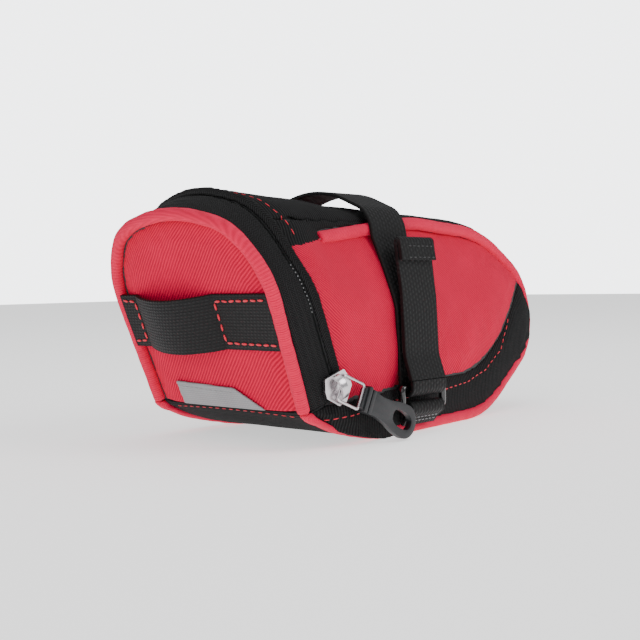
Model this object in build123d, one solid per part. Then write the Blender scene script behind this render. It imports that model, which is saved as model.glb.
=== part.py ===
from build123d import *
import math
import os

# Saddle bag. Frame: +X forward, +Y left, +Z up, origin at the centre of the flat base.
# Lengths in millimetres, angles in degrees.

# Overall shape
base_half_width = 38.2       # half the width of the base at the rear corner
side_taper = 0.085           # how much a side closes in per mm forward
side_lean = 0.10             # how much a side leans in per mm up
rear_tilt = 21.2             # the rear panel leans back by this
corner_x = -62.0             # where the rear panel's plane meets the piping's bottom line
corner_radius = 20.0         # rear bottom corner, seen from the side
nose_x = 95.5                # foremost line of the side panels
nose_radius = 24.0
crown_rear = 83.0            # top of the rear panel, up its slope
crown_middle = 86.6          # peak of the top panel's outline under the strap
crown_front = 86.0
crown_bulge = 7.0            # how far the nose stands out in the middle

# Wall layers
fabric = 1.0
foam = 2.0
lining = 0.5

# Piping
piping_radius = 2.0
core_radius = 1.1

# Zip
zip_offset = 12.9            # zip line, forward of the rear panel's plane
tape_edge = 16.4             # front edge of the zip band
zip_gap = 1.0                # between the two halves
coil_width = 1.4
coil_height = 1.1
fold_height = 11.7           # lid fold, up the rear panel's slope
fold_gap = 0.6

# Slider and puller
slider_height = 15.5         # slider's middle, up the rear panel's slope
plate_thickness = 1.2
plate_clearance = 0.6
blade_thickness = 0.4
bridge_rise = 3.7
link_wire = 0.5
link_width = 8.8
link_length = 9.4
puller_angle = 25.4          # below the horizontal
puller_length = 29.0
puller_width = 7.6
puller_eye_width = 10.6
puller_thickness = 2.2

# Strap, ring and light loop
webbing = 20.0
webbing_thickness = 1.4
strap_x = -6.0               # middle of the strap
strap_side = 36.7            # strap's middle line, out from the centre
strap_peak = 93.0            # peak of the strap's outline over the top panel
strap_end_top = 71.0
patch_thickness = 0.7
ring_y = -40.0
ring_low = 9.5
ring_high = 17.5
ring_bar = 1.3
wrap_slack = 0.9
loop_low = 35.0              # light loop's lower edge, up the rear panel's slope
loop_bow = 7.6               # how far the light loop stands off the rear panel
clearance = 0.3
reach = 300.0                # larger than the bag

tilt = math.radians(rear_tilt)
rear = Plane(origin=(corner_x, 0, piping_radius), x_dir=(0, 1, 0), z_dir=(math.cos(tilt), 0, math.sin(tilt)))
profile_plane = Plane.XZ


def save(name, solid):
    solid = clean_part(solid)
    solid.label = name
    export_step(solid, f"parts/{name}.step")


def clean_part(shape):
    """Keep the solids worth keeping, without the shavings that a cut leaves."""
    solids = shape.solids()
    largest = max(solid.volume for solid in solids)
    solids = [solid for solid in solids if solid.volume > largest / 50]
    if len(solids) == 1:
        return solids[0]
    return Compound(children=solids)


def inset(points, depth):
    """Move every side of a closed anticlockwise outline inwards by depth."""
    moved = []
    count = len(points)
    for index in range(count):
        before, here, after = points[index - 1], points[index], points[(index + 1) % count]
        sides = []
        for start, end in ((before, here), (here, after)):
            length = math.dist(start, end)
            nx = -(end[1] - start[1]) / length
            ny = (end[0] - start[0]) / length
            sides.append((nx, ny, nx * here[0] + ny * here[1] + depth))
        (a, b, c), (d, e, f) = sides
        area = a * e - b * d
        moved.append(((c * e - b * f) / area, (a * f - c * d) / area))
    return moved


def outline_face(plane, points, radii, depth):
    """A face whose first and last corners are sharp, and the rest rounded by radii."""
    points = inset(points, depth)
    path = FilletPolyline(*points, radius=[max(radius - depth, 0.5) for radius in radii])
    return plane * make_face(path + Line(path @ 1, path @ 0))


def side_y(x, z):
    """Distance of the side seam's plane from the centre."""
    return base_half_width - side_taper * (x - corner_x) - side_lean * (z - piping_radius)


def section(plane, foot, knee, shoulder, peak, radii, depth):
    """One cross-section of the bag: straight legs and a round top."""
    right = [foot, knee, shoulder, peak]
    left = [(-shoulder[0], shoulder[1]), (-knee[0], knee[1]), (-foot[0], foot[1])]
    return outline_face(plane, right + left, radii, depth)


def upright(x):
    return Plane(origin=(x, 0, 0), x_dir=(0, 1, 0), z_dir=(1, 0, 0))


def tunnel(depth):
    """The bag's sides and top, open-ended in both directions."""
    below = -16.0
    rear_foot = base_half_width - 0.6
    round_top = (34.0, 24.0, 52.0, 24.0, 34.0)
    behind = rear.offset(-6.0)
    front_tape = rear.offset(tape_edge)
    sections = [
        section(behind, (rear_foot, below), (38.4, 60.0), (28.0, 78.0), (0, crown_rear + 2), round_top, depth),
        section(front_tape, (41.8, below), (42.0, 50.0), (28.6, 80.0), (0, crown_rear + 5.6), round_top, depth),
    ]
    for x, knee, shoulder, peak, peak_radius in (
        (-14.0, (34.4, 48.0), (27.0, 78.6), crown_middle, 46.0),
        (50.0, (28.4, 45.0), (21.8, 75.4), crown_front, 34.0),
        (106.0, (23.0, 42.0), (17.0, 71.0), crown_front - 4, 20.0),
    ):
        foot = (side_y(x, below) + 1, below)
        radii = (40.0, 9.0, peak_radius, 9.0, 40.0)
        sections.append(section(upright(x), foot, knee, shoulder, (0, peak), radii, depth))
    return loft(sections, ruled=True)


def side_outline(bulge):
    """Side view of the bag: rear panel, base and nose. The top is left to the tunnel."""
    top = 140.0
    rear_top = (corner_x - (top - piping_radius) * math.tan(tilt), top)
    rear_foot = (corner_x + piping_radius * math.tan(tilt), 0)
    return [
        rear_top,
        rear_foot,
        (49.8, 0),
        (nose_x + 0.8 * bulge, 26.7),
        (nose_x + 0.8 * bulge, 55.9 + 0.9 * bulge),
        (nose_x - 148 + 0.5 * bulge, top + 0.9 * bulge),
    ]


outline_radii = (corner_radius, 58.0, nose_radius, nose_radius)


def envelope(depth):
    """The outer side, base, nose and rear faces of the bag."""
    seam = 22.0
    stations = ((-60, 0), (-seam, 0), (-seam / 2, 0.75), (0, 1), (seam / 2, 0.75), (seam, 0), (60, 0))
    faces = []
    for y, share in stations:
        plane = Plane(origin=(0, y, 0), x_dir=(1, 0, 0), z_dir=(0, -1, 0))
        faces.append(outline_face(plane, side_outline(share * crown_bulge), outline_radii, depth))
    return loft(faces, ruled=True)


def body(depth):
    return tunnel(depth) & envelope(depth)


def rear_slab(low, high, floor=-reach, ceiling=reach):
    """Everything between two depths forward of the rear panel and two heights up its slope."""
    block = Box(2 * reach, ceiling - floor, high - low, align=(Align.CENTER, Align.MIN, Align.MIN))
    return rear * Pos(0, floor, low) * block


def outside(side, depth):
    """The half space beyond a side's seam plane, moved inwards by depth. side is -1 or 1."""
    normal = Vector(side_taper, side, side_lean)
    origin = (0, side * (side_y(0, 0) - depth), 0)
    plane = Plane(origin=origin, x_dir=Vector(1, -side * side_taper, 0), z_dir=normal)
    return plane * Box(2 * reach, 2 * reach, reach, align=(Align.CENTER, Align.CENTER, Align.MIN))


def tube(path, radius):
    start = Plane(origin=path @ 0, z_dir=path % 0)
    return sweep(start * Circle(radius), path=path)


# Wall layers as nested closed bodies
outer = body(0)
under_fabric = body(fabric)
under_foam = body(fabric + foam)
cavity = body(fabric + foam + lining)
skin = outer - under_fabric
pad = under_fabric - under_foam
liner = under_foam - cavity

# Zones
lid_floor = fold_height + fold_gap / 2
root_ceiling = fold_height - fold_gap / 2
lid_front = zip_offset - zip_gap / 2
tape_back = zip_offset + zip_gap / 2
lid_zone = rear_slab(-20, lid_front, lid_floor)
tape_zone = rear_slab(tape_back, tape_edge, root_ceiling)
main_zone = rear_slab(tape_edge, reach) + rear_slab(-20, tape_edge, -reach, root_ceiling)
seam_depth = 1.4
left_half = Box(2 * reach, reach, 2 * reach, align=(Align.CENTER, Align.MIN, Align.CENTER))
left_zone = outside(1, seam_depth)
nose_seam = 22.0
above_seam = Pos(0, 0, nose_seam) * Box(
    2 * reach, 2 * reach, reach, align=(Align.CENTER, Align.CENTER, Align.MIN)
)

# Piping paths: straight runs with tangent arcs
piping_depth = 1.0
piping_outline = inset(side_outline(0), piping_depth)
start_drop = root_ceiling - 0.2
front_points = [(corner_x - start_drop * math.sin(tilt), piping_radius + start_drop * math.cos(tilt))]
front_points += piping_outline[1:5]
front_points[1] = (corner_x, piping_radius)
front_points[2] = (front_points[2][0], piping_radius)
front_points += [(59.5, 75.2), (6.0, 78.4), (-51.0, 71.0)]
front_radii = (14.0, 56.0, nose_radius - piping_depth, nose_radius - piping_depth, 70.0, 120.0)


def right_side(shape):
    return mirror(shape, about=Plane.XZ)


def both_halves(half):
    return half + right_side(half)


front_path = FilletPolyline(*[(x, side_y(x, z), z) for x, z in front_points], radius=front_radii)

rear_half = [(37.0, lid_floor + 0.2), (39.3, 60.5), (28.5, 78.0), (0, crown_rear + 2.0)]
rear_points = rear_half + [(-u, v) for u, v in reversed(rear_half[:-1])]
rear_path = rear * FilletPolyline(*rear_points, radius=(30.0, 24.0, 66.0, 24.0, 30.0))

piping_left = tube(front_path, piping_radius)
piping_rear = tube(rear_path, piping_radius)
core_left = tube(front_path, core_radius)
core_rear = tube(rear_path, core_radius)

# Black lower bands of the sides
band_points = [(-120, -20), (-120, 13.2), (45, 19.4), (67, 33), (100, 66), (140, 66), (140, -20)]
band_path = FilletPolyline(*band_points, radius=(0, 50.0, 30.0, 0, 0))
band_zone = extrude(profile_plane * make_face(band_path + Line(band_path @ 1, band_path @ 0)), reach, both=True)


# Sewn shell, front part, worked out on the left half
front_skin = (skin & main_zone & left_half) - piping_left - piping_rear
side_skin = front_skin & left_zone
middle_skin = front_skin - left_zone
front_pad = (pad & main_zone & left_half) - piping_left - piping_rear
middle_pad = front_pad - left_zone
sides = {
    "side_panel": side_skin - band_zone,
    "side_band": side_skin & band_zone,
    "foam_side": front_pad & left_zone,
    "piping": piping_left - core_left,
    "piping_core": core_left,
}
shell = {
    "top_panel": both_halves(middle_skin & above_seam),
    "base_panel": both_halves(middle_skin - above_seam),
    "foam_top": both_halves(middle_pad & above_seam),
    "foam_base": both_halves(middle_pad - above_seam),
    "lining_main": both_halves((liner & main_zone & left_half) - piping_left),
    "zip_tape_front": (skin & tape_zone) - piping_rear,
}
for name, piece in sides.items():
    piece = clean_part(piece)
    shell[f"{name}_left"] = piece
    shell[f"{name}_right"] = right_side(piece)

# Zip coils, on the inner face of the tapes
coil_layer = under_fabric - body(fabric + coil_height)
coil_front = coil_layer & rear_slab(tape_back, tape_back + coil_width, lid_floor)
coil_lid = coil_layer & rear_slab(lid_front - coil_width, lid_front, lid_floor)
shell["zip_coil_front"] = coil_front

# Lid
panel_depth = fabric + foam
lid_skin = (skin & lid_zone) - piping_rear
shell["rear_panel"] = lid_skin & rear_slab(-20, fabric)
shell["zip_tape_rear"] = lid_skin & rear_slab(fabric, lid_front)
shell["foam_lid"] = (pad & lid_zone & rear_slab(-20, panel_depth)) - piping_rear
shell["lining_lid"] = (liner & lid_zone & rear_slab(-20, panel_depth + lining)) - piping_rear
shell["zip_coil_rear"] = coil_lid
shell["piping_rear"] = piping_rear - core_rear
shell["piping_core_rear"] = core_rear


def light_loop():
    """Webbing across the rear panel: sewn flat at both ends, standing off between them."""
    near = -clearance / 2
    far = near - webbing_thickness
    end = 35.6
    bow_right, bow_left = -11.3, 28.5
    middle = (bow_right + bow_left) / 2
    inner_bow = -loop_bow + webbing_thickness
    edges = [
        Line((-end, near), (bow_right, near)),
        ThreePointArc((bow_right, near), (middle, inner_bow), (bow_left, near)),
        Line((bow_left, near), (end, near)),
        Line((end, near), (end, far)),
        Line((end, far), (bow_left, far)),
        ThreePointArc((bow_left, far), (middle, -loop_bow), (bow_right, far)),
        Line((bow_right, far), (-end, far)),
        Line((-end, far), (-end, near)),
    ]
    start = rear.from_local_coords((0, loop_low, 0))
    plane = Plane(origin=start, x_dir=rear.x_dir, z_dir=-rear.y_dir)
    return extrude(plane * make_face(edges), -webbing)


def loop_stitching():
    """A sewn box at each end of the light loop."""
    thread = 0.5
    level = -clearance / 2 - webbing_thickness - 0.25
    frames = []
    for low, high in ((-34.6, -12.3), (29.5, 34.6)):
        wide = Rectangle(high - low, webbing - 5.0) - Rectangle(high - low - 2 * thread, webbing - 5.0 - 2 * thread)
        frame = extrude(wide, 0.25)
        frames.append(rear * Pos((low + high) / 2, loop_low + webbing / 2, level) * frame)
    return Compound(children=frames)


def reflector_tab():
    corners = [(22.2, 21.5), (21.3, lid_floor + 0.2), (-21.0, lid_floor + 0.2), (-7.6, 20.2)]
    face = make_face(Polyline(*corners, close=True))
    return rear * Pos(0, 0, -0.8 - clearance / 2) * extrude(face, 0.8)


shell["light_loop"] = light_loop()
shell["loop_stitching"] = loop_stitching()
shell["reflector_tab"] = reflector_tab()

# Rail strap: from the left bottom seam over the top and down to the ring
wrap_radius = ring_bar + wrap_slack + webbing_thickness / 2
strap_plane = upright(strap_x - webbing / 2)


def strip(path, thickness):
    """A strap of constant thickness along a path in the YZ plane, as wide as the webbing."""
    ribbon = trace(path, thickness)
    return extrude(strap_plane * ribbon, webbing)


def rail_strap():
    run = [
        (strap_side + 1.2, 5.0),
        (strap_side, 48.0),
        (29.3, 81.2),
        (0, strap_peak),
        (-29.3, 81.2),
        (-strap_side, 48.0),
        (ring_y + wrap_radius, 26.0),
        (ring_y + wrap_radius, ring_high),
    ]
    over = FilletPolyline(*run, radius=(30.0, 12.0, 40.0, 12.0, 30.0, 40.0))
    under = ThreePointArc(
        (ring_y + wrap_radius, ring_high),
        (ring_y, ring_high - wrap_radius),
        (ring_y - wrap_radius, ring_high),
    )
    tail = Line((ring_y - wrap_radius, ring_high), (ring_y - wrap_radius, ring_high + 2.5))
    return strip(over + under + tail, webbing_thickness)


patch_low, patch_high = 30.0, 47.0
layer_step = webbing_thickness + 2 * patch_thickness + 0.9


def strap_end():
    lower = (ring_y - wrap_radius, ring_high + 2.8)
    run = [
        lower,
        (-strap_side - layer_step - 0.4, 29.0),
        (-strap_side - layer_step, 49.0),
        (-strap_side - 1.4, strap_end_top),
    ]
    return strip(FilletPolyline(*run, radius=(14.0, 30.0)), webbing_thickness)


def patch(y):
    height = patch_high - patch_low
    block = Box(webbing - 2, patch_thickness, height, align=(Align.CENTER, Align.CENTER, Align.MIN))
    return Pos(strap_x, y, patch_low) * block


strap_face = -strap_side - webbing_thickness / 2
strap = rail_strap()
tail_end = strap_end()
hook = patch(strap_face - patch_thickness / 2 - 0.15) - strap
fleece = patch(strap_face - 1.5 * patch_thickness - 0.35) - tail_end


def strap_ring():
    """Flat plastic loop, long way across the webbing."""
    inner_width = webbing + 1.6
    height = ring_high - ring_low
    middle = (ring_high + ring_low) / 2
    corners = [(-inner_width / 2 - ring_bar, -height / 2), (inner_width / 2 + ring_bar, -height / 2)]
    corners += [(x, -z) for x, z in reversed(corners)]
    path = FilletPolyline(*corners, radius=1.6, close=True)
    plane = Plane(origin=(strap_x, ring_y, middle), x_dir=(1, 0, 0), z_dir=(0, -1, 0))
    path = plane * path
    return tube(path, ring_bar)


def ring_tab():
    """Webbing folded round the ring's lower bar, its tail in the bottom seam."""
    grip = 0.3
    thick = 1.2
    width = webbing - 1.0
    hoop = Circle(ring_bar + grip + thick) - Circle(ring_bar + grip)
    hoop = Pos(ring_y, ring_low) * hoop
    seam_y, seam_z = -36.75, 4.8
    root_y = ring_y + ring_bar + grip
    corners = [(seam_y, seam_z), (root_y + thick, ring_low), (root_y, ring_low), (seam_y - thick, seam_z)]
    tail = make_face(Polyline(*corners, close=True))
    plane = upright(strap_x - width / 2)
    return extrude(plane * (hoop + tail), width)


shell["rail_strap"] = strap
shell["strap_end"] = tail_end
shell["hook_patch"] = hook
shell["fleece_patch"] = fleece
shell["strap_ring"] = strap_ring()
shell["ring_tab"] = ring_tab()

# Slider: an outer and an inner plate joined by a thin blade between the coils
flare = (42.0 - 38.4) / (6.0 + tape_edge)      # how the sides widen forward of the rear panel
tape_y = 38.4 + flare * (6.0 + zip_offset) - 0.2
flare_angle = math.degrees(math.atan(flare))
slider_plane = rear * Pos(-tape_y, slider_height, zip_offset) * Rot(0, -90 - flare_angle, 0)


def plate(level, half):
    """Slider plate from the right half of its outline. x is across the zip, y is up."""
    points = half + [(-x, y) for x, y in reversed(half)]
    return Pos(0, 0, level) * extrude(make_face(Polyline(*points, close=True)), plate_thickness)


def zip_slider():
    inner_level = -fabric - coil_height - plate_clearance - plate_thickness
    upper = plate(plate_clearance, [(1.6, -6.0), (5.6, -1.5), (5.6, 0.8), (4.3, 5.0)])
    upper = fillet(upper.edges().filter_by(Axis.Z), 0.7)
    lower = plate(inner_level, [(1.4, -3.2), (2.9, -1.5), (2.9, 0.8), (2.9, 4.6)])
    blade_height = plate_clearance - inner_level
    blade = Box(blade_thickness, 4.0, blade_height, align=(Align.CENTER, Align.CENTER, Align.MIN))
    blade = Pos(0, 0.5, inner_level) * blade
    level = plate_clearance + plate_thickness
    rise = bridge_rise
    arch = make_face(
        [
            Line((-4.4, 0), (-3.2, 0)),
            ThreePointArc((-3.2, 0), (0.6, rise - 1.0), (4.0, 0)),
            Line((4.0, 0), (4.8, 0)),
            ThreePointArc((4.8, 0), (0.6, rise), (-4.4, 0)),
        ]
    )
    bridge_plane = Plane(origin=(-1.3, 0, level), x_dir=(0, 1, 0), z_dir=(1, 0, 0))
    bridge = extrude(bridge_plane * arch, 2.6)
    return slider_plane * (upper + lower + blade + bridge)


# Link and puller, side by side with the slider, both square to the same cross axis
link_level = plate_clearance + plate_thickness + 1.45
link_point = (slider_plane * Pos(0, 0.4, link_level)).position
drop = math.radians(puller_angle)
pull_dir = Vector(math.cos(drop), 0, -math.sin(drop))
cross_dir = Vector(math.sin(drop), 0, math.cos(drop))
link_dir = Vector(pull_dir.X, -flare, pull_dir.Z).normalized()
link_plane = Plane(origin=link_point, x_dir=link_dir, z_dir=link_dir.cross(cross_dir))
puller_plane = Plane(origin=link_point + link_dir * link_length, x_dir=pull_dir, z_dir=(0, -1, 0))


def pull_link():
    half = link_width / 2
    corners = [(0, -half), (link_length, -half), (link_length, half), (0, half)]
    path = link_plane * FilletPolyline(*corners, radius=1.0, close=True)
    return tube(path, link_wire)


def zip_puller():
    head_radius = 1.6
    head_width = link_width - 2 * link_wire - 0.8
    head = Cylinder(head_radius, head_width, rotation=(90, 0, 0))
    half = puller_width / 2
    wide = puller_eye_width / 2
    far = puller_length
    outline = FilletPolyline(
        (0.6, -half + 0.4), (far * 0.55, -half - 0.3), (far - 6, -wide), (far, -wide),
        (far, wide), (far - 6, wide), (far * 0.55, half + 0.3), (0.6, half - 0.4),
        radius=(6.0, 4.0, 4.6, 4.6, 4.0, 6.0),
    )
    blank = extrude(make_face(outline + Line(outline @ 1, outline @ 0)), puller_thickness / 2, both=True)
    eye = Pos(far - 7.0, 0, 0) * SlotOverall(9.2, 5.8)
    rib = Pos(3.2, 0, 0) * Box(1.2, puller_width - 0.6, head_radius * 2)
    bore = Cylinder(link_wire + 0.1, 2 * puller_width, rotation=(90, 0, 0))
    solid = blank + head + rib - extrude(eye, puller_thickness, both=True) - bore
    return puller_plane * solid


shell["zip_slider"] = zip_slider()
shell["pull_link"] = pull_link()
shell["zip_puller"] = zip_puller()


def zip_stops():
    """Two clips across the coils' lower ends, one each side."""
    stops = []
    for side in (-1, 1):
        block = Box(1.4, 2.0, 4.0)
        place = Pos(side * (tape_y - fabric - foam - lining - 1.2), root_ceiling - 1.6, zip_offset)
        stops.append(rear * place * block)
    return Compound(children=stops)


shell["zip_stops"] = zip_stops()

os.makedirs("parts", exist_ok=True)
for name, solid in shell.items():
    save(name, solid)
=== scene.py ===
import math

import bmesh
import bpy
import numpy as np
from mathutils import Matrix, Vector, noise
from mathutils.bvhtree import BVHTree


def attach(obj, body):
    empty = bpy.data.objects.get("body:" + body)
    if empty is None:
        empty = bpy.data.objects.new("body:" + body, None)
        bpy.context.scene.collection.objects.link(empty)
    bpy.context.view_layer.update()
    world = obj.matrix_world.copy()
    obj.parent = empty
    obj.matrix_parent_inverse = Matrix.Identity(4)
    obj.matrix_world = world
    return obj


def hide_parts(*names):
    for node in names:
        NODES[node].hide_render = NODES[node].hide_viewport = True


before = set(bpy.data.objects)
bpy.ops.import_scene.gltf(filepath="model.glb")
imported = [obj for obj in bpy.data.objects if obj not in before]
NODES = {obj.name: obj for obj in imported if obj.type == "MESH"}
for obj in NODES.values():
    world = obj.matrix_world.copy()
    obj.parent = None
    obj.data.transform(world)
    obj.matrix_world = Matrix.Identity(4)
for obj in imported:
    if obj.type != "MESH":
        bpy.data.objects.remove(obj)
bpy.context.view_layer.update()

MM = 0.001
TILT = math.radians(21.2)       # lean of the rear panel
ACROSS = Vector((0, 1, 0))
UP_PANEL = Vector((-math.sin(TILT), 0, math.cos(TILT)))
INTO_PANEL = Vector((math.cos(TILT), 0, math.sin(TILT)))
FOOT = np.array((-62.0, 0.0, 2.0))      # foot of the rear panel, in mm
PANEL_FOOT = Vector(FOOT) * MM
CORE_HEIGHT = 0.042             # height of the bag's long middle line
SAME_POINT = 0.000002           # points nearer than this are one
PANEL_GRAIN = 0.8               # cell of the padded panels' even skin, in mm
TAPE_GRAIN = 0.66
REFLECTOR_GRAIN = 0.45
WEBBING = 20.0                  # width of the strap and of the light loop
WEBBING_THICK = 1.3
BELLY_START = -25.0             # the belly rises behind this
BELLY_RUN = 36.0
BELLY_RISE = 7.5
BELLY_TOP = 13.0                # above this nothing is lifted


def on_rear(u, v, n=0.0):
    """A place given from the rear panel, in mm: across it, up it and into the bag."""
    return PANEL_FOOT + (ACROSS * u + UP_PANEL * v + INTO_PANEL * n) * MM


# ---------------------------------------------------------------- shader values
class Value:
    """A number that changes over a surface, used in sums as any number is."""

    def __init__(self, finish, socket):
        self.finish = finish
        self.socket = socket

    def maths(self, operation, first, second=0.0):
        return self.finish.node("ShaderNodeMath", {"operation": operation}, {0: first, 1: second})

    def __add__(self, other):
        return self.maths("ADD", self, other)

    def __radd__(self, other):
        return self.maths("ADD", other, self)

    def __sub__(self, other):
        return self.maths("SUBTRACT", self, other)

    def __rsub__(self, other):
        return self.maths("SUBTRACT", other, self)

    def __mul__(self, other):
        return self.maths("MULTIPLY", self, other)

    def __rmul__(self, other):
        return self.maths("MULTIPLY", other, self)

    def __pow__(self, other):
        return self.maths("POWER", self, other)

    def wave(self):
        return self.maths("SINE", self) * 0.5 + 0.5

    def over(self, limit):
        return self.maths("GREATER_THAN", self, limit)

    def size(self):
        return self.maths("ABSOLUTE", self)

    def zigzag(self, scale):
        return self.maths("PINGPONG", self, scale)

    def whole(self):
        return self.maths("FLOOR", self)


class Finish:
    """One finish: a Principled shader and the nodes that vary it."""

    def __init__(self, name, **constants):
        self.material = bpy.data.materials.new(name)
        self.material.use_nodes = True
        self.tree = self.material.node_tree
        self.shader = self.tree.nodes["Principled BSDF"]
        for socket, value in constants.items():
            self.shader.inputs[socket.replace("_", " ")].default_value = value
        coordinates = self.tree.nodes.new("ShaderNodeTexCoord")
        self.place = Value(self, coordinates.outputs["Object"])
        self.weave = Value(self, coordinates.outputs["UV"])

    def node(self, kind, settings, inputs, output=0):
        made = self.tree.nodes.new(kind)
        for key, value in settings.items():
            setattr(made, key, value)
        for key, value in inputs.items():
            if isinstance(value, Value):
                self.tree.links.new(value.socket, made.inputs[key])
            else:
                made.inputs[key].default_value = value
        return Value(self, made.outputs[output])

    def along(self, direction, pitch):
        """Phase of a wave that repeats every pitch metres along a direction."""
        step = tuple(Vector(direction) * (math.tau / pitch))
        inputs = {0: self.place, 1: step}
        return self.node("ShaderNodeVectorMath", {"operation": "DOT_PRODUCT"}, inputs, "Value")

    def part(self, vector, output):
        return self.node("ShaderNodeSeparateXYZ", {}, {0: vector}, output)

    def cloudy(self, scale, detail=3.0, rough=0.5):
        inputs = {"Vector": self.place, "Scale": scale, "Detail": detail, "Roughness": rough}
        return self.node("ShaderNodeTexNoise", {}, inputs)

    def mix(self, factor, first, second):
        inputs = {0: factor, 6: first, 7: second}
        return self.node("ShaderNodeMix", {"data_type": "RGBA"}, inputs, 2)

    def feed(self, socket, value):
        self.tree.links.new(value.socket, self.shader.inputs[socket])

    def raise_by(self, height, distance, strength=1.0):
        bump = self.node("ShaderNodeBump", {}, {"Height": height, "Distance": distance, "Strength": strength})
        self.feed("Normal", bump)


def grey(level):
    return (level, level, level * 1.03, 1.0)


def twill(name, light, dark, direction, cross, pitch, sheen, depth):
    """Ribbed cloth on object coordinates: ribs one way, yarns the other, uneven in both."""
    cloth = Finish(name, Sheen_Weight=sheen, Sheen_Roughness=0.45, Specular_IOR_Level=0.15)
    drift = cloth.cloudy(260.0) * 1.1
    rib = (cloth.along(direction, pitch) + drift).wave()
    yarn = (cloth.along(cross, pitch * 0.62) + drift).wave()
    slub = cloth.cloudy(1500.0, 2.0)
    wear = cloth.cloudy(45.0, 4.0, 0.6)
    relief = rib * 0.65 + yarn * rib * 0.25 + slub * 0.2
    tone = cloth.mix(relief, dark, light)
    faded = tuple(min(1.0, c * 1.2) for c in light[:3]) + (1.0,)
    tone = cloth.mix((wear - 0.45) * 0.8, tone, faded)
    cloth.feed("Base Color", tone)
    cloth.feed("Roughness", 0.72 + wear * 0.2)
    cloth.raise_by(relief, depth)
    return cloth.material


def bias_tape(name, light, dark):
    """Tape cut on the bias and wrapped round a cord. The weave map runs along it."""
    cloth = Finish(name, Sheen_Weight=0.03, Specular_IOR_Level=0.2)
    run = cloth.part(cloth.weave, "X")
    side = cloth.part(cloth.weave, "Y")
    height = cloth.part(cloth.place, "Y") * 1000.0
    drift = cloth.cloudy(300.0) * 1.2
    slant = ((run + side * 0.9 + height * 0.9) * (math.tau / 0.85) + drift).wave()
    counter = ((run - side * 0.9 - height * 0.9) * (math.tau / 0.6) + drift).wave()
    wear = cloth.cloudy(80.0, 4.0)
    relief = slant * 0.6 + counter * 0.4
    cloth.feed("Base Color", cloth.mix(relief * 0.7 + wear * 0.4, dark, light))
    cloth.feed("Roughness", 0.58 + wear * 0.2)
    cloth.raise_by(relief, 0.00014)
    return cloth.material


def herringbone(name, light, dark):
    """Zip tape. The weave map runs along the zip, with the zip's line at 12.9 across."""
    cloth = Finish(name, Specular_IOR_Level=0.2)
    run = cloth.part(cloth.weave, "X")
    side = cloth.part(cloth.weave, "Y")
    drift = cloth.cloudy(280.0) * 0.9
    chevron = ((run + side.zigzag(1.35) * 1.15) * (math.tau / 0.95) + drift).wave()
    fold = (side * (math.tau / 2.7)).wave()
    slub = cloth.cloudy(1300.0, 2.0)
    relief = chevron * 0.7 + fold * 0.12 + slub * 0.18
    cloth.feed("Base Color", cloth.mix(relief ** 1.4, dark, light))
    cloth.feed("Roughness", 0.62 + slub * 0.2)
    cloth.raise_by(relief, 0.00045)
    return cloth.material


def webbing_weave(name, light, dark, rib_pitch, bar_pitch, basket):
    """Webbing. The weave map runs along it, with its middle at 0 across."""
    cloth = Finish(name, Specular_IOR_Level=0.3)
    run = cloth.part(cloth.weave, "X")
    side = cloth.part(cloth.weave, "Y")
    drift = cloth.cloudy(240.0) * 0.7
    row = (side * (1.0 / rib_pitch)).whole()
    bar = (run * (math.tau / bar_pitch) + row * (math.pi * basket) + drift).wave()
    rib = (side * (math.tau / rib_pitch) - math.pi / 2).wave()
    slub = cloth.cloudy(1400.0, 2.0)
    relief = rib * (bar * 0.8 + 0.2) * 0.85 + slub * 0.15
    edge = side.size().over(9.1)
    shade = relief * (1.0 - edge * 0.55)
    cloth.feed("Base Color", cloth.mix(shade, dark, light))
    cloth.feed("Roughness", 0.55 + slub * 0.25)
    cloth.raise_by(relief, 0.0003)
    return cloth.material


def thread(name, light, dark):
    yarn = Finish(name, Sheen_Weight=0.2, Specular_IOR_Level=0.4)
    twist = (yarn.along((0.8, 0.9, 0.7), 0.00045) + yarn.cloudy(900.0) * 2.0).wave()
    tone = yarn.cloudy(160.0, 2.0)
    yarn.feed("Base Color", yarn.mix(twist * 0.6 + tone * 0.5, dark, light))
    yarn.feed("Roughness", 0.5 + tone * 0.2)
    yarn.raise_by(twist, 0.00008)
    return yarn.material


def nickel(name):
    metal = Finish(name, Metallic=1.0, Specular_IOR_Level=0.5)
    cast = metal.cloudy(420.0, 5.0, 0.6)
    rubbed = metal.cloudy(2600.0, 2.0)
    metal.feed("Base Color", metal.mix(cast, (0.42, 0.40, 0.42, 1), (0.86, 0.82, 0.83, 1)))
    metal.feed("Roughness", 0.14 + cast * 0.26)
    metal.raise_by(cast * 0.6 + rubbed * 0.4, 0.00003)
    return metal.material


def moulded(name, light, dark, shine, grain, coat=0.0):
    plastic = Finish(name, Coat_Weight=coat, Coat_Roughness=0.12, Specular_IOR_Level=0.5)
    skin = plastic.cloudy(900.0, 4.0, 0.6)
    worn = plastic.cloudy(120.0, 3.0)
    plastic.feed("Base Color", plastic.mix(worn, dark, light))
    plastic.feed("Roughness", shine + worn * 0.14)
    plastic.raise_by(skin, grain)
    return plastic.material


def reflective(name):
    tape = Finish(name, Metallic=0.25, Specular_IOR_Level=0.5)
    lines = (tape.along((0.0, 1.0, 0.0), 0.0008) + tape.cloudy(300.0)).wave()
    rows = tape.along(UP_PANEL, 0.0008).wave()
    worn = tape.cloudy(110.0, 4.0, 0.6)
    tone = tape.mix(lines * rows * 0.5 + worn * 0.5, (0.20, 0.205, 0.21, 1), (0.46, 0.47, 0.48, 1))
    tape.feed("Base Color", tone)
    tape.feed("Roughness", 0.4 + worn * 0.25)
    tape.raise_by(lines * rows, 0.00006)
    return tape.material


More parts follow.
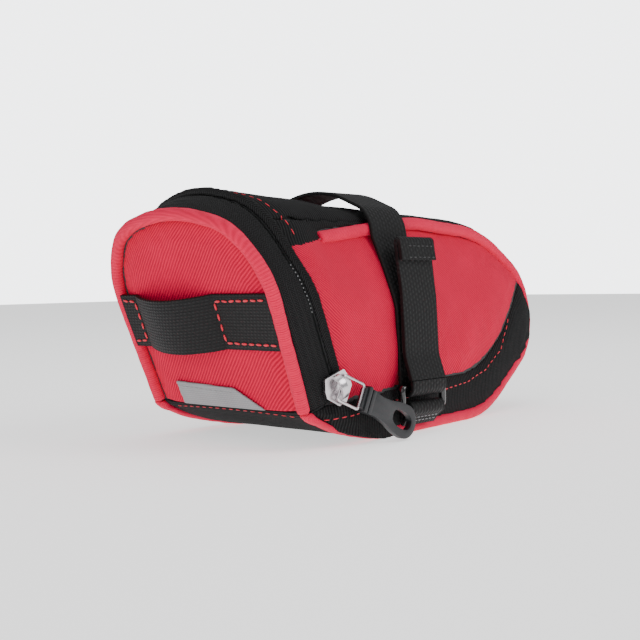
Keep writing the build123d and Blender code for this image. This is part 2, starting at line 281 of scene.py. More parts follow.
def pale_floor(name):
    floor = Finish(name, Specular_IOR_Level=0.1, Emission_Color=(1, 1, 1, 1), Emission_Strength=0.9)
    tone = floor.node("ShaderNodeTexNoise", {}, {"Vector": floor.place, "Scale": 3.0})
    floor.feed("Base Color", floor.mix(tone, (0.86, 0.86, 0.86, 1), (0.90, 0.90, 0.90, 1)))
    floor.feed("Roughness", 0.85 + tone * 0.1)
    return floor.material


DIAGONAL = (0.52, 0.5, 0.7)
COUNTER = (-0.6, 0.55, 0.62)
RED_TWILL = twill(
    "red twill", (0.90, 0.0030, 0.066, 1), (0.42, 0.0008, 0.024, 1),
    DIAGONAL, COUNTER, pitch=0.00075, sheen=0.03, depth=0.00022,
)
RIBBED_BLACK = twill(
    "ribbed black", grey(0.020), grey(0.0015),
    (1, 0, 0), (0.1, 0.8, 0.6), pitch=0.0012, sheen=0.0, depth=0.0004,
)
LINING = twill(
    "thin lining", grey(0.10), grey(0.04),
    (1, 0, 0.2), (0, 1, 0), pitch=0.0006, sheen=0.1, depth=0.0001,
)
RED_TAPE = bias_tape("red bias tape", (0.97, 0.0060, 0.082, 1), (0.60, 0.002, 0.036, 1))
ZIP_TAPE = herringbone("herringbone tape", grey(0.024), grey(0.0010))
STRAP_WEAVE = webbing_weave(
    "basket webbing", grey(0.012), grey(0.0006), rib_pitch=1.7, bar_pitch=1.9, basket=1.0,
)
LOOP_WEAVE = webbing_weave(
    "ribbed webbing", grey(0.013), grey(0.0008), rib_pitch=1.15, bar_pitch=1.6, basket=0.5,
)
RED_THREAD = thread("red thread", (1.0, 0.008, 0.045, 1), (0.6, 0.003, 0.02, 1))
BLACK_THREAD = thread("black thread", grey(0.03), grey(0.006))
PALE_THREAD = thread("pale thread", grey(0.42), grey(0.22))
NICKEL = nickel("polished nickel")
RUBBER = moulded(
    "satin rubber", (0.010, 0.0115, 0.014, 1), (0.005, 0.006, 0.0075, 1), shine=0.36, grain=0.00004,
)
GLOSSY = moulded("glossy plastic", grey(0.004), grey(0.002), shine=0.12, grain=0.00002, coat=0.6)
NYLON = moulded("nylon coil", grey(0.05), grey(0.015), shine=0.35, grain=0.00006)
CORD = moulded("soft cord", grey(0.7), grey(0.5), shine=0.7, grain=0.0002)
FOAM = moulded("closed foam", grey(0.06), grey(0.03), shine=0.8, grain=0.0003)
PILE = moulded("brushed pile", grey(0.03), grey(0.008), shine=0.8, grain=0.0005)
REFLECTIVE = reflective("reflective tape")


# ---------------------------------------------------------------- making pieces
def only(piece):
    bpy.ops.object.select_all(action="DESELECT")
    piece.select_set(True)
    bpy.context.view_layer.objects.active = piece


def settle(piece):
    """Applies every modifier of a piece, in order."""
    only(piece)
    for modifier in list(piece.modifiers):
        bpy.ops.object.modifier_apply(modifier=modifier.name)


def place(piece, body, finish, nodes=(), angle=None):
    """Gives a finished piece its material and body, and hides the nodes it stands for."""
    if not piece.data.materials:
        piece.data.materials.append(finish)
    only(piece)
    if angle is None:
        bpy.ops.object.shade_smooth()
    else:
        bpy.ops.object.shade_smooth_by_angle(angle=math.radians(angle))
    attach(piece, body)
    if nodes:
        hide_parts(*nodes)
    return piece


def cloth_over(name, node, grain, rounds=5):
    """An even fine skin over the shape of a CAD piece, ready to be shaped as cloth."""
    data = NODES[node].data.copy()
    piece = bpy.data.objects.new(name, data)
    bpy.context.scene.collection.objects.link(piece)
    skin = bmesh.new()
    skin.from_mesh(data)
    bmesh.ops.remove_doubles(skin, verts=skin.verts, dist=SAME_POINT)
    skin.to_mesh(data)
    skin.free()
    data.materials.clear()
    remesh = piece.modifiers.new("even", "REMESH")
    remesh.mode = "VOXEL"
    remesh.voxel_size = grain * 1.0 * MM
    smooth = piece.modifiers.new("smooth", "SMOOTH")
    smooth.factor = 0.5
    smooth.iterations = rounds
    settle(piece)
    return piece


def tree_of(*objects):
    """One search tree over several pieces at rest."""
    joined = bmesh.new()
    for piece in objects:
        joined.from_mesh(piece.data)
    found = BVHTree.FromBMesh(joined)
    joined.free()
    return found


def fill_out(piece, seams, away, height, reach, ripple, pucker, seed, sink=0.9):
    """Padded cloth: it crowns between its seams, ripples a little and puckers along them."""
    near = tree_of(*(NODES[seam] for seam in seams))
    shift = Vector((seed * 3.1, seed * 7.7, seed * 1.9))
    mesh = piece.data
    places = np.zeros(len(mesh.vertices) * 3)
    mesh.vertices.foreach_get("co", places)
    for index, vertex in enumerate(mesh.vertices):
        found = near.find_nearest(vertex.co, reach * MM)
        gap = reach if found[3] is None else found[3] / MM
        fall = max(0.0, 1.0 - gap / reach)
        at = vertex.co / MM
        rise = height * (1.0 - fall * fall) - sink * max(0.0, fall * 2.0 - 1.0)
        rise += ripple * noise.noise(at * 0.055 + shift) * (1.0 - fall * 0.5)
        rise += pucker * noise.noise(at * 0.21 + shift) * fall
        step = away(vertex.co) * rise * MM
        places[index * 3:index * 3 + 3] += step
    mesh.vertices.foreach_set("co", places)
    mesh.update()


def tuck_up(piece):
    """The bag's belly rises towards the rear fold, which keeps its own height."""
    for vertex in piece.data.vertices:
        x, y, z = vertex.co / MM
        rise = min(1.0, max(0.0, (BELLY_START - x) / BELLY_RUN)) ** 1.3 * BELLY_RISE
        vertex.co.z += rise * max(0.0, 1.0 - max(0.0, z) / BELLY_TOP) * MM


def rounded(points, radii, step=1.5):
    """Stations along a path in a plane, in mm, with its inner corners rounded."""
    stations = [Vector(points[0])]
    for before, corner, after, radius in zip(points, points[1:], points[2:], radii):
        corner = Vector(corner)
        back = (Vector(before) - corner).normalized()
        on = (Vector(after) - corner).normalized()
        half = back.angle(on) / 2
        reach = radius / math.tan(half)
        middle = corner + (back + on).normalized() * (radius / math.sin(half))
        first = corner + back * reach - middle
        last = corner + on * reach - middle
        sweep = first.angle_signed(last)
        count = max(3, int(abs(sweep) * radius / step))
        for part in range(count + 1):
            turn = -sweep * part / count
            arm = Vector((
                first.x * math.cos(turn) - first.y * math.sin(turn),
                first.x * math.sin(turn) + first.y * math.cos(turn),
            ))
            stations.append(middle + arm)
    stations.append(Vector(points[-1]))
    return spaced(stations, step)


def spaced(stations, step):
    """Adds stations so that none are further apart than a step."""
    closer = [stations[0]]
    for start, stop in zip(stations, stations[1:]):
        count = max(1, math.ceil((stop - start).length / step))
        closer += [start.lerp(stop, part / count) for part in range(1, count + 1)]
    return closer


def lay_weave(piece, path, flat, across):
    """Writes the piece's weave map: distance along a path, and distance across it, in mm."""
    mesh = piece.data
    places = np.zeros(len(mesh.vertices) * 3)
    mesh.vertices.foreach_get("co", places)
    places = places.reshape(-1, 3) / MM
    spots = flat(places)
    best = np.full(len(spots), 1e9)
    run = np.zeros(len(spots))
    length = 0.0
    for start, stop in zip(path, path[1:]):
        start = np.array(start[:2], float)
        way = np.array(stop[:2], float) - start
        size = float(np.hypot(*way))
        if size < 1e-6:
            continue
        part = np.clip(((spots - start) @ way) / size ** 2, 0, 1)
        gap = np.hypot(*(spots - start - part[:, None] * way).T)
        nearer = gap < best
        best[nearer] = gap[nearer]
        run[nearer] = length + part[nearer] * size
        length += size
    side = best if across is None else across(places)
    loops = np.zeros(len(mesh.loops), int)
    mesh.loops.foreach_get("vertex_index", loops)
    while mesh.uv_layers:
        mesh.uv_layers.remove(mesh.uv_layers[0])
    layer = mesh.uv_layers.new(name="Weave")
    layer.data.foreach_set("uv", np.stack([run[loops], side[loops]], 1).ravel())


def strip(name, stations, at, width_way, width, thickness, wobble=0.12, edge=0.35):
    """Webbing laid station by station: its end is extruded from each one to the next."""
    half = Vector(width_way) * (width / 2) * MM
    spots = [at(station) for station in stations]
    bpy.ops.object.select_all(action="DESELECT")
    bpy.ops.mesh.primitive_plane_add(size=1)
    piece = bpy.context.object
    piece.name = name
    corners = [spots[0] - half, spots[0] + half, spots[1] - half, spots[1] + half]
    for vertex, corner in zip(piece.data.vertices, corners):
        vertex.co = corner
    bpy.ops.object.mode_set(mode="EDIT")
    bpy.ops.mesh.select_mode(type="EDGE")
    bpy.ops.mesh.select_all(action="DESELECT")
    work = bmesh.from_edit_mesh(piece.data)
    for line in work.edges:
        first, second = (v.co for v in line.verts)
        near = all((v.co - spots[1]).length < half.length * 1.02 for v in line.verts)
        line.select = near and (first + second - spots[1] * 2).length < 1e-6
    bmesh.update_edit_mesh(piece.data)
    for start, stop in zip(spots[1:], spots[2:]):
        bpy.ops.mesh.extrude_region_move(TRANSFORM_OT_translate={"value": stop - start})
    bpy.ops.mesh.select_all(action="SELECT")
    bpy.ops.mesh.normals_make_consistent(inside=False)
    bpy.ops.mesh.subdivide(number_cuts=3)
    bpy.ops.object.mode_set(mode="OBJECT")
    wall = piece.modifiers.new("wall", "SOLIDIFY")
    wall.thickness = thickness * MM
    wall.offset = 0
    round_off = piece.modifiers.new("round", "BEVEL")
    round_off.width = edge * MM
    round_off.segments = 3
    round_off.limit_method = "ANGLE"
    round_off.angle_limit = math.radians(50)
    settle(piece)
    for vertex in piece.data.vertices:
        ease = noise.noise(vertex.co / MM * 0.12)
        vertex.co += Vector((0.4, 1.0, 0.3)) * (ease * wobble * MM)
    return piece


def stitch_row(name, rows, long, gap, thick, uneven=0.12, seed=1):
    """Stitches along rows of (place, outward) pairs. One is modelled, and the rest are its copies."""
    bpy.ops.object.select_all(action="DESELECT")
    bpy.ops.mesh.primitive_uv_sphere_add(segments=8, ring_count=6, radius=0.5)
    first = bpy.context.object
    bpy.ops.object.mode_set(mode="EDIT")
    bpy.ops.mesh.select_all(action="SELECT")
    bpy.ops.transform.resize(value=(1.0, thick / long, thick / long * 0.75))
    bpy.ops.object.mode_set(mode="OBJECT")
    shape = [v.co.copy() * long * MM for v in first.data.vertices]
    faces = [tuple(f.vertices) for f in first.data.polygons]
    vertices = []
    polygons = []
    count = 0
    for row in rows:
        spots = [spot for spot, _ in row]
        outs = [out for _, out in row]
        lengths = [0.0]
        for start, stop in zip(spots, spots[1:]):
            lengths.append(lengths[-1] + (stop - start).length)
        whole = int(lengths[-1] / MM / (long + gap))
        pace = lengths[-1] / max(1, whole)
        for index in range(whole):
            middle = (index + 0.5) * pace
            part = next(i for i in range(1, len(lengths)) if lengths[i] >= middle - 1e-9)
            share = (middle - lengths[part - 1]) / max(1e-9, lengths[part] - lengths[part - 1])
            spot = spots[part - 1].lerp(spots[part], share)
            out = outs[part - 1].lerp(outs[part], share).normalized()
            way = (spots[part] - spots[part - 1]).normalized()
            side = out.cross(way).normalized()
            way = side.cross(out)
            count += 1
            sway = noise.noise(Vector((count * 1.7, seed * 5.3, 0.4))) * uneven
            way = (way + side * sway).normalized()
            side = out.cross(way)
            base = len(vertices)
            for co in shape:
                bulge = 1.0 + sway * 0.6
                high = out * (co.z + thick * 0.16 * MM)
                vertices.append(spot + way * co.x + side * co.y * bulge + high)
            polygons += [tuple(base + corner for corner in face) for face in faces]
    bpy.data.objects.remove(first)
    mesh = bpy.data.meshes.new(name)
    mesh.from_pydata(vertices, [], polygons)
    mesh.update()
    piece = bpy.data.objects.new(name, mesh)
    bpy.context.scene.collection.objects.link(piece)
    return piece


def cast(points, way, onto, lift=0.0):
    """Drops points along a direction on to pieces, as (place, outward) pairs."""
    way = Vector(way).normalized()
    tree = tree_of(*onto) if isinstance(onto, list) else onto
    row = []
    for point in points:
        hit, out, _, _ = tree.ray_cast(Vector(point) - way * 0.08, way)
        if hit is not None:
            out = out if out.dot(way) < 0 else -out
            row.append((hit + out * lift * MM, out))
    return row


# ---------------------------------------------------------------- camera
eye = Vector((-320.3, -278.7, 56.0)) * MM
look = Vector((-17.6, 0, 41.6)) * MM
back = (eye - look).normalized()
right = Vector((0, 0, 1)).cross(back).normalized()
upward = back.cross(right)
roll = math.radians(-1.05)
turned_right = right * math.cos(roll) + upward * math.sin(roll)
turned_up = upward * math.cos(roll) - right * math.sin(roll)
lens = bpy.data.cameras.new("camera")
lens.lens = 60.33
lens.sensor_width = 36
lens.clip_start = 0.01
camera = bpy.data.objects.new("camera", lens)
facing = Matrix((turned_right, turned_up, back)).transposed().to_4x4()
camera.matrix_world = Matrix.Translation(eye) @ facing
bpy.context.scene.collection.objects.link(camera)
bpy.context.scene.camera = camera

# ---------------------------------------------------------------- padded panels
LEFT_OUT = Vector((0, 1, 0))
RIGHT_OUT = Vector((0, -1, 0))


def from_core(co):
    """Outwards from the bag's long middle line."""
    return Vector((0, co.y, co.z - CORE_HEIGHT)).normalized()


for side, out in (("right", RIGHT_OUT), ("left", LEFT_OUT)):
    panel = cloth_over(f"side_wall_{side}", f"side_panel_{side}", PANEL_GRAIN)
    fill_out(
        panel, (f"piping_{side}", f"side_band_{side}", "zip_tape_front"), lambda co: out,
        height=1.0, reach=16.0, ripple=0.7, pucker=0.35, seed=1.0,
    )
    tuck_up(panel)
    place(panel, "shell", RED_TWILL, [f"side_panel_{side}"])
    band = cloth_over(f"lower_band_{side}", f"side_band_{side}", PANEL_GRAIN)
    fill_out(
        band, (f"piping_{side}", f"side_panel_{side}"), lambda co: out,
        height=0.5, reach=8.0, ripple=0.4, pucker=0.3, seed=2.0, sink=0.6,
    )
    tuck_up(band)
    place(band, "shell", RIBBED_BLACK, [f"side_band_{side}"])


# The upper run of the side piping, from the rear to the nose, and the shoulder line that follows it
UPPER_SEAM = [
    (-53.2, 70.3), (-46.3, 71.6), (-25.3, 73.9), (1.2, 77.3), (16, 77),
    (33.6, 76), (53, 72.7), (72, 67), (84, 60.2),
]
SHOULDER = [(-70, 67.5), (-62, 69)] + UPPER_SEAM + [(96, 48)]


def over_shoulder(co):
    """True above the line of the upper side piping."""
    return co.z / MM > np.interp(co.x / MM, *zip(*SHOULDER))


for side in ("right", "left"):
    wall = bpy.data.objects[f"side_wall_{side}"]
    wall.data.materials.append(RIBBED_BLACK)
    for face in wall.data.polygons:
        face.material_index = 1 if over_shoulder(face.center) else 0

crown = cloth_over("crown_panel", "top_panel", PANEL_GRAIN)
fill_out(
    crown, ("piping_left", "piping_right", "zip_tape_front"), from_core,
    height=0.6, reach=16.0, ripple=0.7, pucker=0.4, seed=3.0,
)
place(crown, "shell", RIBBED_BLACK, ["top_panel"])

floor_panel = cloth_over("floor_panel", "base_panel", PANEL_GRAIN)
fill_out(
    floor_panel, ("piping_left", "piping_right"), lambda co: Vector((0, 0, 1)),
    height=0.3, reach=9.0, ripple=0.2, pucker=0.2, seed=4.0, sink=-1.0,
)
tuck_up(floor_panel)
place(floor_panel, "shell", RIBBED_BLACK, ["base_panel"])

door = cloth_over("rear_wall", "rear_panel", PANEL_GRAIN)
fill_out(
    door, ("piping_rear",), lambda co: -INTO_PANEL,
    height=0.8, reach=14.0, ripple=0.5, pucker=0.35, seed=5.0,
)
place(door, "lid", RED_TWILL, ["rear_panel"])

# ---------------------------------------------------------------- piping
BELLY_SEAM = [
    (-62, 8), (-53, 6), (-44, 4.1), (-37, 2.6), (-27, 1.1), (-8, 0.6), (8.5, 2.7), (26, 3.5), (44, 3.8),
]
NOSE_SEAM = [(63, 10), (80.5, 20.2), (90.4, 31.5), (93.5, 41.7), (91.5, 50.6)]
SIDE_SEAM = BELLY_SEAM + NOSE_SEAM + UPPER_SEAM[::-1] + [(-64, 69)]
REAR_SEAM = [(37.0, 12), (39.3, 60.5), (28.5, 78.0), (0, 84), (-28.5, 78.0), (-39.3, 60.5), (-37.0, 12)]
REAR_RADII = (30.0, 24.0, 66.0, 24.0, 30.0)


def side_view(places):
    return places[:, [0, 2]]


def rear_height(places):
    return (places - FOOT) @ np.array(UP_PANEL)


def rear_depth(places):
    return (places - FOOT) @ np.array(INTO_PANEL)


def rear_view(places):
    return np.stack([places[:, 1], rear_height(places)], 1)


def plump(piece, amount, scale, seed, full=0.0):
    """Small swellings along a sewn tube."""
    for vertex in piece.data.vertices:
        swell = noise.noise(vertex.co / MM * scale + Vector((seed, 0, 0))) * amount + full
        vertex.co += vertex.normal * (swell * MM)


for side in ("right", "left"):
    cord = cloth_over(f"edge_piping_{side}", f"piping_{side}", TAPE_GRAIN, rounds=4)
    plump(cord, amount=0.22, scale=0.22, seed=1.0, full=0.5)
    lay_weave(cord, SIDE_SEAM, side_view, None)
    tuck_up(cord)
    place(cord, "shell", RED_TAPE, [f"piping_{side}"])
cord = cloth_over("edge_piping_rear", "piping_rear", TAPE_GRAIN, rounds=4)
plump(cord, amount=0.22, scale=0.22, seed=2.0, full=0.35)
lay_weave(cord, rounded(REAR_SEAM, REAR_RADII), rear_view, None)
place(cord, "lid", RED_TAPE, ["piping_rear"])

# ---------------------------------------------------------------- zip band
ZIP_LINE = [(38.4, 12), (40.6, 60.5), (29.5, 79.0), (0, 86), (-29.5, 79.0), (-40.6, 60.5), (-38.4, 12)]
zip_path = rounded(ZIP_LINE, REAR_RADII)


def ridge(piece, middle, half, height):
    """Raises a folded ridge round the band, at a depth into the bag."""
    places = np.array([v.co[:] for v in piece.data.vertices]) / MM
    depths = rear_depth(places)
    for vertex, depth in zip(piece.data.vertices, depths):
        share = max(0.0, 1.0 - abs(depth - middle) / half)
        vertex.co += from_core(vertex.co) * (height * math.sin(share * math.pi / 2) * MM)


tape = cloth_over("zip_band_front", "zip_tape_front", TAPE_GRAIN, rounds=4)
ridge(tape, middle=15.9, half=1.3, height=1.0)
plump(tape, amount=0.12, scale=0.3, seed=3.0)
lay_weave(tape, zip_path, rear_view, rear_depth)
place(tape, "shell", ZIP_TAPE, ["zip_tape_front"])
tape = cloth_over("zip_band_rear", "zip_tape_rear", TAPE_GRAIN, rounds=4)
ridge(tape, middle=6.5, half=5.0, height=0.25)
plump(tape, amount=0.15, scale=0.2, seed=4.0)
lay_weave(tape, zip_path, rear_view, rear_depth)
place(tape, "lid", ZIP_TAPE, ["zip_tape_rear"])

# ---------------------------------------------------------------- webbing
STRAP_X = -6.0
RING_Y = -40.0
RING_HIGH = 17.5
WRAP = 2.9                      # the strap's turn round the ring's upper bar
RING_EXIT = (RING_Y - WRAP, RING_HIGH + 2.5)


def lean(y, z):
    """How far the strap's middle lies from its lower end, along the bag."""
    return np.interp(z, (20, 46, 60, 72, 80, 88), (0.0, -1.0, -4.0, -7.5, -7.0, -4.5))


def on_strap(station):
    return Vector((STRAP_X + lean(station.x, station.y), station.x, station.y)) * MM


def on_end(station):
    shift = 0.5 * np.interp(station.y, (20, 50, 70), (-1.0, -1.5, -6.0))
    return Vector((STRAP_X + shift, station.x, station.y)) * MM


def strap_view(places):
    return places[:, [1, 2]]


def strap_side(places):
    return places[:, 0] - STRAP_X - lean(places[:, 1], places[:, 2])


over = rounded(
    [
        (37.9, 5.0), (36.7, 48.0), (29.3, 81.2), (0, 93.0), (-29.3, 81.2), (-36.7, 48.0),
        (RING_Y + WRAP, 26.0), (RING_Y + WRAP, RING_HIGH),
    ],
    (30.0, 12.0, 40.0, 12.0, 30.0, 40.0),
)
for part in range(1, 13):
    turn = math.pi * part / 12
    over.append(Vector((RING_Y + WRAP * math.cos(turn), RING_HIGH - WRAP * math.sin(turn))))
over.append(Vector(RING_EXIT))
strap = strip("saddle_strap", over, on_strap, (1, 0, 0), WEBBING, WEBBING_THICK)
lay_weave(strap, over, strap_view, strap_side)
place(strap, "shell", STRAP_WEAVE, ["rail_strap"], 50)

end_run = rounded([RING_EXIT, (-40.0, 29.0), (-39.3, 49.0), (-38.5, 69.0)], (14.0, 30.0))
hem = ((-38.6, 70.4), (-39.3, 71.3), (-40.1, 70.6), (-40.2, 69.0), (-40.6, 63.5))
end_run += [Vector(turn) for turn in hem]
end = strip("strap_free_end", end_run, on_end, (1, 0, 0), WEBBING, 1.35)
lay_weave(end, end_run, strap_view, strap_side)
place(end, "strap_flap", STRAP_WEAVE, ["strap_end"], 50)

tab_run = rounded(
    [(-37.4, 3.6), (-39.4, 6.2), (-42.4, 8.6), (-42.3, 11.7), (-37.8, 11.7), (-37.6, 8.0), (-36.9, 4.6)],
    (3.0, 1.6, 1.9, 1.9, 6.0), 0.7,
)
tab = strip("ring_keeper", tab_run, on_strap, (1, 0, 0), 19.0, 1.1, wobble=0.05)
lay_weave(tab, tab_run, strap_view, strap_side)
place(tab, "shell", STRAP_WEAVE, ["ring_tab"], 50)


# Light loop: flat at its sewn ends, standing off between them
LOOP_HEIGHT = 45.0
LOOP_SEWN = -1.3                # the sewn ends' middle, outwards from the panel
LOOP_BOW = 5.9
LOOP_SPAN = 39.8
LOOP_STEPS = 28


def on_loop(station):
    return on_rear(station.x, LOOP_HEIGHT, station.y)


loop_run = spaced([Vector((-37.6, LOOP_SEWN)), Vector((-11.3, LOOP_SEWN))], 1.5)
for part in range(1, LOOP_STEPS):
    share = part / LOOP_STEPS
    bow = LOOP_BOW * math.sin(share * math.pi) ** 0.85
    loop_run.append(Vector((-11.3 + LOOP_SPAN * share, LOOP_SEWN - bow)))
loop_run += spaced([Vector((28.5, LOOP_SEWN)), Vector((37.6, LOOP_SEWN))], 1.5)
loop = strip("lamp_loop", loop_run, on_loop, UP_PANEL, WEBBING, WEBBING_THICK)


def loop_view(places):
    return np.stack([places[:, 1], rear_depth(places)], 1)


def loop_side(places):
    return rear_height(places) - LOOP_HEIGHT


lay_weave(loop, loop_run, loop_view, loop_side)
place(loop, "lid", LOOP_WEAVE, ["light_loop"], 50)

patch = cloth_over("reflector", "reflector_tab", REFLECTOR_GRAIN, rounds=2)
for vertex in patch.data.vertices:
    vertex.co -= INTO_PANEL * 0.7 * MM
place(patch, "lid", REFLECTIVE, ["reflector_tab"])

# ---------------------------------------------------------------- stitching
box_rows = []
for edge, inner in ((-36.4, -12.6), (36.4, 29.6)):
    corners = [Vector(c) for c in ((edge, 37.2), (inner, 37.6), (inner, 52.6), (edge, 53.0))]
    for start, stop in zip(corners, corners[1:]):
        line = [on_rear(spot.x, spot.y, -2.0) for spot in spaced([start, stop], 1.0)]
        box_rows.append([(spot, -INTO_PANEL) for spot in line])
sewn = stitch_row("loop_box_stitches", box_rows, long=2.7, gap=0.35, thick=0.85, uneven=0.25, seed=2)
place(sewn, "lid", RED_THREAD, ["loop_stitching"])

BAND_SEAM = [
    (-60, 10.2), (-44, 11.2), (-20, 12.9), (17.7, 13.8), (34.8, 15.2),
    (50, 19), (63.6, 26.2), (70.6, 34.6), (76.5, 42.6), (83, 49),
]
for side, sign in (("right", -1), ("left", 1)):
    seam = spaced([Vector(point) for point in BAND_SEAM], 2.0)
    line = [Vector((spot.x, sign * 30, spot.y)) * MM for spot in seam]
    row = cast(line, (0, -sign, 0), [bpy.data.objects[f"lower_band_{side}"]])
    sewn = stitch_row(
        f"band_topstitch_{side}", [row], long=2.3, gap=1.2, thick=0.42, uneven=0.1, seed=3,
    )
    place(sewn, "shell", RED_THREAD)

line = [on_rear(u, 10.4 - 0.0012 * u * u, -20.0) for u in np.arange(-31.0, 31.1, 1.5)]
row = cast(line, INTO_PANEL, [floor_panel])
sewn = stitch_row("floor_topstitch", [row], long=2.3, gap=1.3, thick=0.40, uneven=0.1, seed=9)
place(sewn, "shell", RED_THREAD)

shell_tops = ("crown_panel", "side_wall_right", "side_wall_left")
tops = tree_of(*(bpy.data.objects[name] for name in shell_tops))
row = []
for turn in np.radians(np.arange(-57.0, 57.1, 0.7)):
    spoke = ACROSS * math.sin(turn) + UP_PANEL * math.cos(turn)
    row += cast([on_rear(0, 44.0, 21.8) + spoke * 0.07], -spoke, tops)
sewn = stitch_row("crown_topstitch", [row], long=2.3, gap=1.3, thick=0.42, uneven=0.1, seed=4)
place(sewn, "shell", RED_THREAD)

hem_ends = [Vector((20.5, 19.6)), Vector((-7.0, 18.3))]
line = [on_rear(spot.x, spot.y, -20.0) for spot in spaced(hem_ends, 1.0)]
row = cast(line, INTO_PANEL, [patch])
sewn = stitch_row("reflector_stitches", [row], long=1.6, gap=0.8, thick=0.32, uneven=0.1, seed=5)
place(sewn, "lid", PALE_THREAD)

rows = []
for height in (4.9, 6.3):
    line = [Vector((STRAP_X + x, -60, height)) * MM for x in np.arange(-8.6, 8.7, 1.0)]
    rows.append(cast(line, (0, 1, 0), [tab]))
sewn = stitch_row("keeper_stitches", rows, long=1.6, gap=0.5, thick=0.36, uneven=0.1, seed=6)
place(sewn, "shell", PALE_THREAD)

rows = []
for height in (64.5, 68.6):
    line = [Vector((STRAP_X + x, -60, height)) * MM for x in np.arange(-8.8, 8.9, 1.0)]
    rows.append(cast(line, (0, 1, 0), [end]))
sewn = stitch_row("hem_stitches", rows, long=1.8, gap=0.6, thick=0.36, uneven=0.1, seed=7)
place(sewn, "strap_flap", BLACK_THREAD)

# Painted highlights: a short row of pale dots on the dark zip coil stands for glints on its teeth.
line = [on_rear(-30, v, 11.7) for v in np.arange(42.0, 60.1, 1.0)]
beside = cast(line, (0, 1, 0), [bpy.data.objects["zip_band_rear"]])
glint_row = [(spot + INTO_PANEL * 1.2 * MM - out * 0.6 * MM, out) for spot, out in beside]
sewn = stitch_row("zip_teeth", [glint_row], long=0.6, gap=0.8, thick=0.45, uneven=0.2, seed=8)
place(sewn, "shell", PALE_THREAD)


# ---------------------------------------------------------------- zip puller
def pull_tab():
    """Flat moulded tab: an outer loop and an eye, bridged, thickened and rounded, with two ribs."""
    drop = math.radians(25.4)
    way = Vector((math.cos(drop), 0, -math.sin(drop)))
    high = Vector((math.sin(drop), 0, math.cos(drop)))
    root = Vector((-47.82, -45.94, 17.32))
    steps = 48
    middle, reach = 15.2, 15.4
    tip, tip_radius = 24.6, 6.0
    thick = 2.4
    widths = ([0, 1.2, 5, 10, 15, 20, 24.6], [3.4, 4.1, 4.1, 3.7, 4.3, 5.6, 6.0])
    outer = []
    inner = []
    for index in range(steps):
        turn = math.tau * index / steps
        along, across = math.cos(turn), math.sin(turn)
        x = middle + reach * along
        cap = math.sqrt(max(0.0, 1 - max(0.0, (x - tip) / tip_radius) ** 2))
        half = float(np.interp(x, *widths)) * cap
        level = abs(across) <= 1e-6
        outer.append((x, 0.0 if level else math.copysign(half, across)))
        eye_x = 22.6 + 5.4 * math.copysign(abs(along) ** 0.8, along)
        inner.append((eye_x, 3.0 * math.copysign(abs(across) ** 0.75, across)))
    outer[steps // 2] = (0.0, 0.0)
    bpy.ops.object.select_all(action="DESELECT")
    bpy.ops.mesh.primitive_circle_add(vertices=steps, radius=2)
    piece = bpy.context.object
    piece.name = "zip_pull_tab"
    bpy.ops.object.mode_set(mode="EDIT")
    bpy.ops.mesh.primitive_circle_add(vertices=steps, radius=1)
    bpy.ops.object.mode_set(mode="OBJECT")
    for vertex, (x, y) in zip(piece.data.vertices, outer + inner):
        vertex.co = (x, y, -thick / 2)
    bpy.ops.object.mode_set(mode="EDIT")
    bpy.ops.mesh.select_all(action="SELECT")
    bpy.ops.mesh.bridge_edge_loops()
    bpy.ops.mesh.select_all(action="SELECT")
    bpy.ops.mesh.extrude_region_move(TRANSFORM_OT_translate={"value": (0, 0, thick)})
    for x, wide, tall in ((2.1, 9.0, 3.6), (4.6, 8.4, 3.1)):
        bpy.ops.mesh.select_all(action="DESELECT")
        bpy.ops.mesh.primitive_cube_add(size=1, location=(x, 0, 0))
        bpy.ops.transform.resize(value=(1.7, wide, tall))
    bpy.ops.mesh.select_all(action="SELECT")
    bpy.ops.mesh.normals_make_consistent(inside=False)
    bpy.ops.object.mode_set(mode="OBJECT")
    soften = piece.modifiers.new("soften", "BEVEL")
    soften.width = 0.5
    soften.segments = 3
    soften.limit_method = "ANGLE"
    soften.angle_limit = math.radians(50)
    settle(piece)
    for vertex in piece.data.vertices:
        x, y, z = vertex.co
        vertex.co = (root + way * x + high * y + Vector((0, -1, 0)) * z) * MM
    return piece


place(pull_tab(), "puller", RUBBER, ["zip_puller"], 35)

# ---------------------------------------------------------------- inner layers
def inner_layer(name, node, longest):
    """A thin inner piece in its CAD shape, divided finely enough to follow the belly."""
    data = NODES[node].data.copy()
    piece = bpy.data.objects.new(name, data)
    bpy.context.scene.collection.objects.link(piece)
    skin = bmesh.new()
    skin.from_mesh(data)
    bmesh.ops.remove_doubles(skin, verts=skin.verts, dist=SAME_POINT)
    for _ in range(4):
        long_edges = [edge for edge in skin.edges if edge.calc_length() > longest * MM]
        if not long_edges:
            break
        bmesh.ops.subdivide_edges(skin, edges=long_edges, cuts=1)
        bmesh.ops.triangulate(skin, faces=[face for face in skin.faces if len(face.verts) > 3])
    skin.to_mesh(data)
    skin.free()
    data.materials.clear()
    tuck_up(piece)
    return piece


for name, node, finish, slot in (
    ("inner_lining", "lining_main", LINING, "lining"),
    ("floor_foam", "foam_base", FOAM, "foam"),
    ("wall_foam_right", "foam_side_right", FOAM, "foam"),
    ("wall_foam_left", "foam_side_left", FOAM, "foam"),
    ("piping_cord_right", "piping_core_right", CORD, "piping_cord"),
    ("piping_cord_left", "piping_core_left", CORD, "piping_cord"),
):
    layer = inner_layer(name, node, 5.0)
    place(layer, "shell", finish, [node], 40)

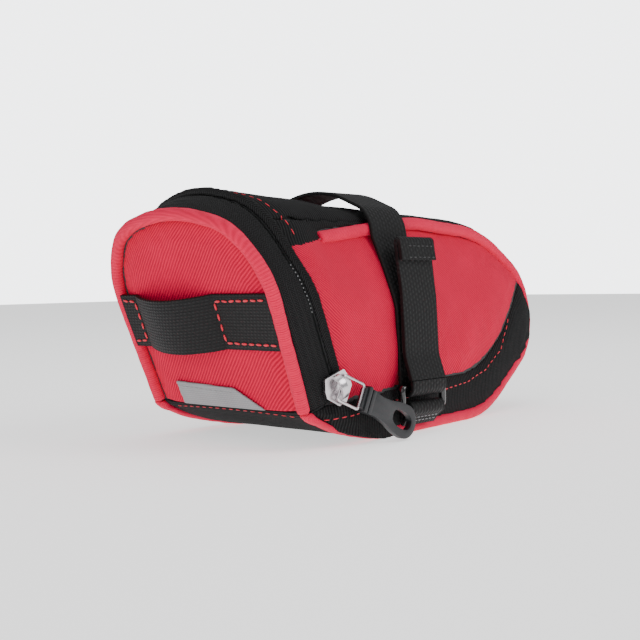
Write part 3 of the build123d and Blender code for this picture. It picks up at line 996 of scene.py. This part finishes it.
# ---------------------------------------------------------------- kept CAD pieces
KEPT = {
    "zip_slider": NICKEL, "pull_link": NICKEL, "strap_ring": GLOSSY,
    "zip_coil_front": NYLON, "zip_coil_rear": NYLON, "zip_stops": NYLON,
    "foam_top": FOAM, "foam_lid": FOAM,
    "lining_lid": LINING,
    "piping_core_rear": CORD,
    "hook_patch": PILE, "fleece_patch": PILE,
}
for node, finish in KEPT.items():
    kept = NODES[node]
    kept.data.materials.clear()
    kept.data.materials.append(finish)
for node, width in (("zip_slider", 0.28), ("strap_ring", 0.0), ("pull_link", 0.0)):
    kept = NODES[node]
    weld = kept.modifiers.new("weld", "WELD")
    weld.merge_threshold = SAME_POINT
    if width:
        soften = kept.modifiers.new("soften", "BEVEL")
        soften.width = width * MM
        soften.segments = 3
        soften.limit_method = "ANGLE"
        soften.angle_limit = math.radians(40)

# ---------------------------------------------------------------- floor and light
bpy.ops.object.select_all(action="DESELECT")
bpy.ops.mesh.primitive_plane_add(size=6)
ground = bpy.context.object
ground.name = "floor"
ground.data.materials.append(pale_floor("pale floor"))


def soft_light(name, at, aim, size, power):
    data = bpy.data.lights.new(name, "AREA")
    data.shape = "DISK"
    data.size = size
    data.energy = power
    lamp = bpy.data.objects.new(name, data)
    lamp.location = at
    lamp.rotation_euler = (Vector(aim) - Vector(at)).to_track_quat("-Z", "Y").to_euler()
    bpy.context.scene.collection.objects.link(lamp)


WORLD_LIGHT = 0.5
BACKDROP_GLOW = 4.0             # added where the camera sees the world itself
middle = (-0.01, 0, 0.04)
soft_light("key", (0.25, -0.85, 0.75), middle, size=0.6, power=4.9)
soft_light("fill", (-0.95, -0.15, 0.55), middle, size=0.8, power=2.3)
soft_light("overhead", (0.0, 0.1, 1.1), middle, size=1.0, power=3.2)
world = bpy.data.worlds.new("studio")
world.use_nodes = True
world.node_tree.nodes["Background"].inputs["Color"].default_value = (0.93, 0.94, 0.96, 1)
seen = world.node_tree.nodes.new("ShaderNodeLightPath")
level = world.node_tree.nodes.new("ShaderNodeMath")
level.operation = "MULTIPLY_ADD"
level.inputs[1].default_value = BACKDROP_GLOW
level.inputs[2].default_value = WORLD_LIGHT
world.node_tree.links.new(seen.outputs["Is Camera Ray"], level.inputs[0])
world.node_tree.links.new(level.outputs[0], world.node_tree.nodes["Background"].inputs["Strength"])
bpy.context.scene.world = world
